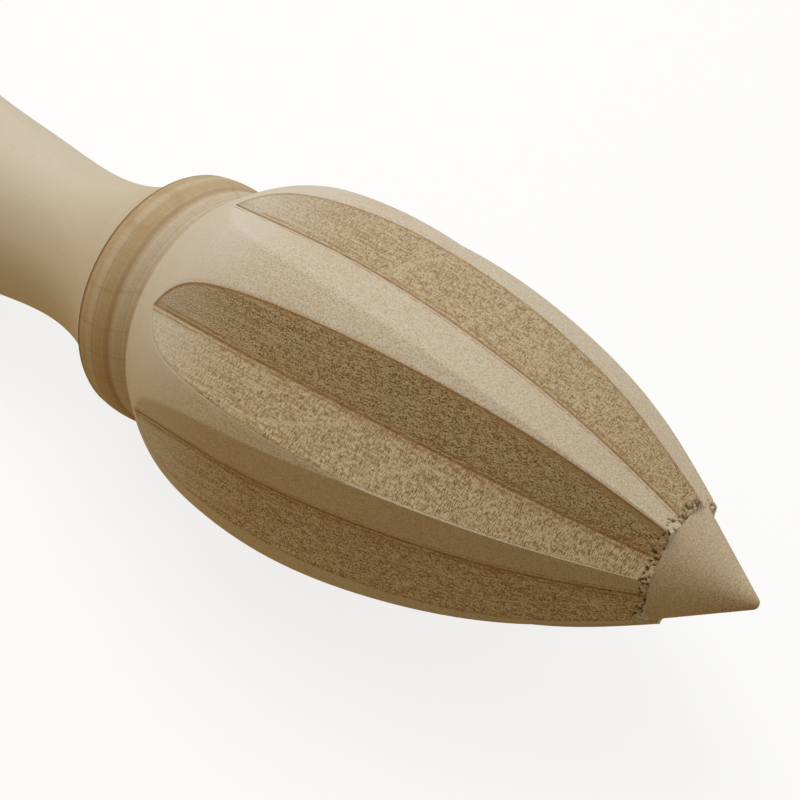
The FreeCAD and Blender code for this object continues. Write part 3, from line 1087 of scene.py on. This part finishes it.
class REAMER_OT_head(bpy.types.Operator):
    """Turn the head and cut its flutes"""

    bl_idname = "reamer.head"
    bl_label = "Fluted head"

    def execute(self, context):
        s = context.scene.reamer_head
        inputs = {
            "Flute Angle": s.flute_angle,
            "Edge Rounding": s.edge_rounding,
            "Ripple Pitch": s.ripple_pitch,
            "Ripple Depth": s.ripple_depth,
            "Ring Place": RING_X,
            "Torn Reach": s.torn_reach,
            "Torn Depth": s.torn_depth,
            "Material": head_finish(context.scene.reamer_wood),
        }
        piece = bake("head_fluted", head_base(s), shared_tree("fluted"), inputs)
        finish_piece(piece, "head", math.radians(50))
        return {"FINISHED"}


class REAMER_OT_cone(bpy.types.Operator):
    """Turn the cone"""

    bl_idname = "reamer.cone"
    bl_label = "Cone"

    def execute(self, context):
        scene = context.scene
        outline = cone_outline(scene.reamer_cone)
        turned_piece("cone", outline, 224, cone_finish(scene.reamer_wood))
        return {"FINISHED"}


class REAMER_OT_torn_fibres(bpy.types.Operator):
    """Scatter the torn fibres where the flutes meet the cone"""

    bl_idname = "reamer.torn_fibres"
    bl_label = "Torn fibres"

    def execute(self, context):
        s, cone = context.scene.reamer_head, context.scene.reamer_cone
        inputs = {
            "Count": cone.fibre_count,
            "Length": cone.fibre_length,
            "Width": cone.fibre_width,
            "Ring Place": RING_X,
            "Ridge Radius": s.ring_radius,
            "Valley Radius": s.ring_radius - s.flute_end_depth,
            "Flutes": s.flute_count,
            "Flute Angle": s.flute_angle,
            "Material": torn_fibre_finish(context.scene.reamer_wood),
        }
        piece = bake("torn_fibres", bpy.data.meshes.new("fibre_base"), shared_tree("fibres"), inputs)
        finish_piece(piece)
        return {"FINISHED"}


class REAMER_OT_dowel(bpy.types.Operator):
    """Finish the hidden joining dowel"""

    bl_idname = "reamer.dowel"
    bl_label = "Joining dowel"

    def execute(self, context):
        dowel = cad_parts["joining_dowel"]
        material = dowel_finish(context.scene.reamer_wood)
        for place in dowel.material_slots:
            place.material = material
        return {"FINISHED"}


class REAMER_OT_stage(bpy.types.Operator):
    """Set the floor, the lights and the camera"""

    bl_idname = "reamer.stage"
    bl_label = "Stage"

    def execute(self, context):
        s = context.scene.reamer_stage
        make_floor(context, s)
        make_lights(context, s)
        make_camera(context, s)
        return {"FINISHED"}


def widest_place():
    return HEAD_START + WIDEST_SHARE * (RING_X - HEAD_START)


def make_floor(context, s):
    """A wide floor that touches the head's lowest lands and the bulge of the handle."""
    head_x = widest_place()
    grip = context.scene.reamer_handle
    slope = (HEAD_BOTTOM + grip.bulge_radius) / (head_x - grip.bulge_place)
    reach = 3.0

    def level(x):
        return HEAD_BOTTOM + slope * (x - head_x)

    signs = ((-1, -1), (1, -1), (1, 1), (-1, 1))
    corners = [(reach * i, reach * j, level(reach * i)) for i, j in signs]
    mesh = bpy.data.meshes.new("floor")
    mesh.from_pydata(corners, [], [(0, 1, 2, 3)])
    floor = bpy.data.objects.new("floor", mesh)
    context.scene.collection.objects.link(floor)
    material = bpy.data.materials.new("floor_paper")
    material.use_nodes = True
    shader = material.node_tree.nodes["Principled BSDF"]
    shader.inputs["Base Color"].default_value = rgba([FLOOR_BASE * channel for channel in s.floor])
    shader.inputs["Roughness"].default_value = 0.9
    shader.inputs["Specular IOR Level"].default_value = 0.0
    shader.inputs["Emission Color"].default_value = rgba(s.floor)
    shader.inputs["Emission Strength"].default_value = FLOOR_GLOW
    mesh.materials.append(material)
    floor.visible_diffuse = False
    floor.visible_glossy = False


def add_area_light(context, name, place, size, power, colour):
    data = bpy.data.lights.new(name, "AREA")
    data.shape = "DISK"
    data.size = size
    data.energy = power
    data.color = colour
    light = bpy.data.objects.new(name, data)
    light.location = place
    light.rotation_euler = (-Vector(place)).to_track_quat("-Z", "Y").to_euler()
    context.scene.collection.objects.link(light)
    return light


def make_lights(context, s):
    for name, target, offset, size, power, colour in (
        ("overhead", widest_place(), (-0.22, 0.16, 0.65), 0.50, s.key_power, (1.0, 1.0, 0.96)),
        ("handle_fill", 0.6 * HANDLE_END, (-0.08, -0.10, 0.0), 0.10, s.fill_power, (1.0, 0.92, 0.78)),
    ):
        light = add_area_light(context, name, offset, size, power, colour)
        light.location.x += target
    world = bpy.data.worlds.new("studio")
    context.scene.world = world
    world.use_nodes = True
    nodes = Nodes(world.node_tree)
    world.node_tree.nodes.clear()
    direction = nodes.add("ShaderNodeTexCoord").outputs["Generated"]
    facing = nodes.add("ShaderNodeVectorMath", {0: direction, 1: BACKLIGHT_FROM}, operation="DOT_PRODUCT")
    behind = facing.outputs["Value"]
    along = nodes.split(direction)["X"]
    around = nodes.mix(nodes.ramp(along, -0.5, 0.9), rgba(s.ambient), rgba(s.shade))
    around = nodes.mix(nodes.ramp(behind, -0.2, 1.0), around, rgba(s.backlight))
    seen = nodes.add("ShaderNodeLightPath").outputs["Is Camera Ray"]
    colour = nodes.mix(seen, around, (1.0, 1.0, 1.0, 1.0))
    background = nodes.add("ShaderNodeBackground", {"Color": colour, "Strength": 1.0})
    nodes.add("ShaderNodeOutputWorld", {"Surface": background.outputs[0]})
    context.scene.view_settings.view_transform = "Standard"


def make_camera(context, s):
    data = bpy.data.cameras.new("camera")
    data.lens = s.lens
    data.sensor_width = 36.0
    data.clip_start = 0.001
    camera = bpy.data.objects.new("camera", data)
    back = Vector(
        (
            math.sin(s.azimuth) * math.cos(s.elevation),
            -math.cos(s.azimuth) * math.cos(s.elevation),
            math.sin(s.elevation),
        )
    )
    turn = (-back).to_track_quat("-Z", "Y").to_matrix() @ Matrix.Rotation(s.roll, 3, "Z")
    place = Vector((POINT_X, 0, 0)) + Vector(CAMERA_FROM_POINT)
    camera.matrix_world = Matrix.Translation(place) @ turn.to_4x4()
    context.scene.collection.objects.link(camera)
    context.scene.camera = camera


class VIEW3D_PT_reamer(bpy.types.Panel):
    bl_label = "Citrus Reamer"
    bl_space_type = "VIEW_3D"
    bl_region_type = "UI"
    bl_category = "Reamer"

    def draw(self, context):
        for operator in PIECE_OPERATORS:
            self.layout.operator(operator.bl_idname)
        for key in SETTINGS:
            group = getattr(context.scene, key)
            box = self.layout.box()
            for name in group.bl_rna.properties.keys():
                if name not in {"rna_type", "name"}:
                    box.prop(group, name)


PIECE_OPERATORS = (
    REAMER_OT_handle,
    REAMER_OT_collar,
    REAMER_OT_head,
    REAMER_OT_cone,
    REAMER_OT_torn_fibres,
    REAMER_OT_dowel,
    REAMER_OT_stage,
)


def register():
    for settings in SETTINGS.values():
        bpy.utils.register_class(settings)
    for key, settings in SETTINGS.items():
        setattr(bpy.types.Scene, key, bpy.props.PointerProperty(type=settings))
    for operator in PIECE_OPERATORS:
        bpy.utils.register_class(operator)
    bpy.utils.register_class(VIEW3D_PT_reamer)


def unregister():
    bpy.utils.unregister_class(VIEW3D_PT_reamer)
    for operator in reversed(PIECE_OPERATORS):
        bpy.utils.unregister_class(operator)
    for key, settings in SETTINGS.items():
        delattr(bpy.types.Scene, key)
        bpy.utils.unregister_class(settings)


def main():
    register()
    bpy.ops.reamer.handle()
    bpy.ops.reamer.collar()
    bpy.ops.reamer.head()
    bpy.ops.reamer.cone()
    bpy.ops.reamer.torn_fibres()
    bpy.ops.reamer.dowel()
    bpy.ops.reamer.stage()


if __name__ == "__main__":
    main()
